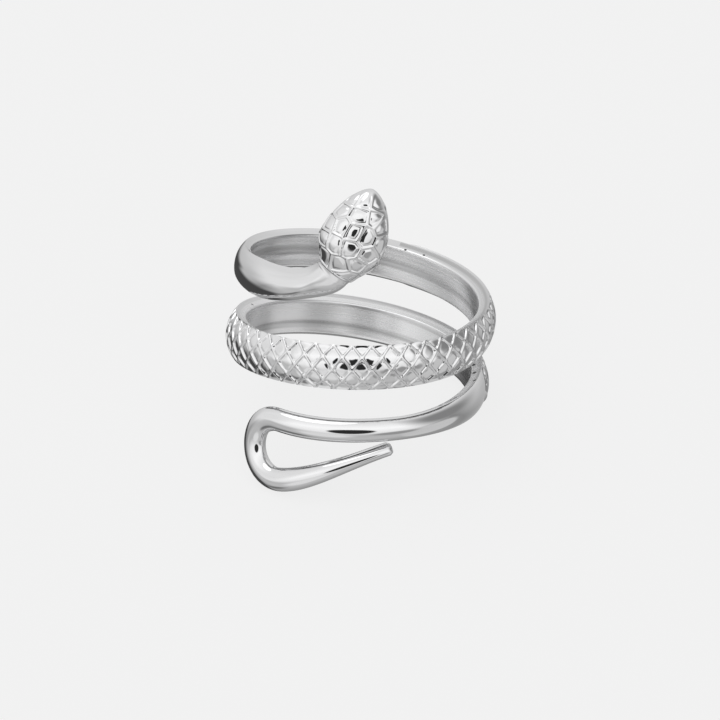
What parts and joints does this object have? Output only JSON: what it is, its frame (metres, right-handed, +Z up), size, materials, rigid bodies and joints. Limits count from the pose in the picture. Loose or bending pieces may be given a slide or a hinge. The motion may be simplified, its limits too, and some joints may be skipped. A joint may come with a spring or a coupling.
{
  "type": "snake wrap ring",
  "caption": "Open coil finger ring in the form of a snake: scaled band, smooth neck rising to a plated egg-shaped head, plain tail bent back under itself.",
  "frame": {"origin": "middle of the footprint, at the level of the table the ring stands on", "axes": "+Z up as the ring stands by itself on its tail bend and the underside of its coil, -Y the side that the head is on, the finger hole leaning back from +Z by about 18 degrees"},
  "size_m": [0.0204, 0.0224, 0.0234],
  "materials": {
    "metal": "polished stainless steel"
  },
  "bodies": {
    "root": {"snake_ring": "metal"}
  },
  "joints": []
}
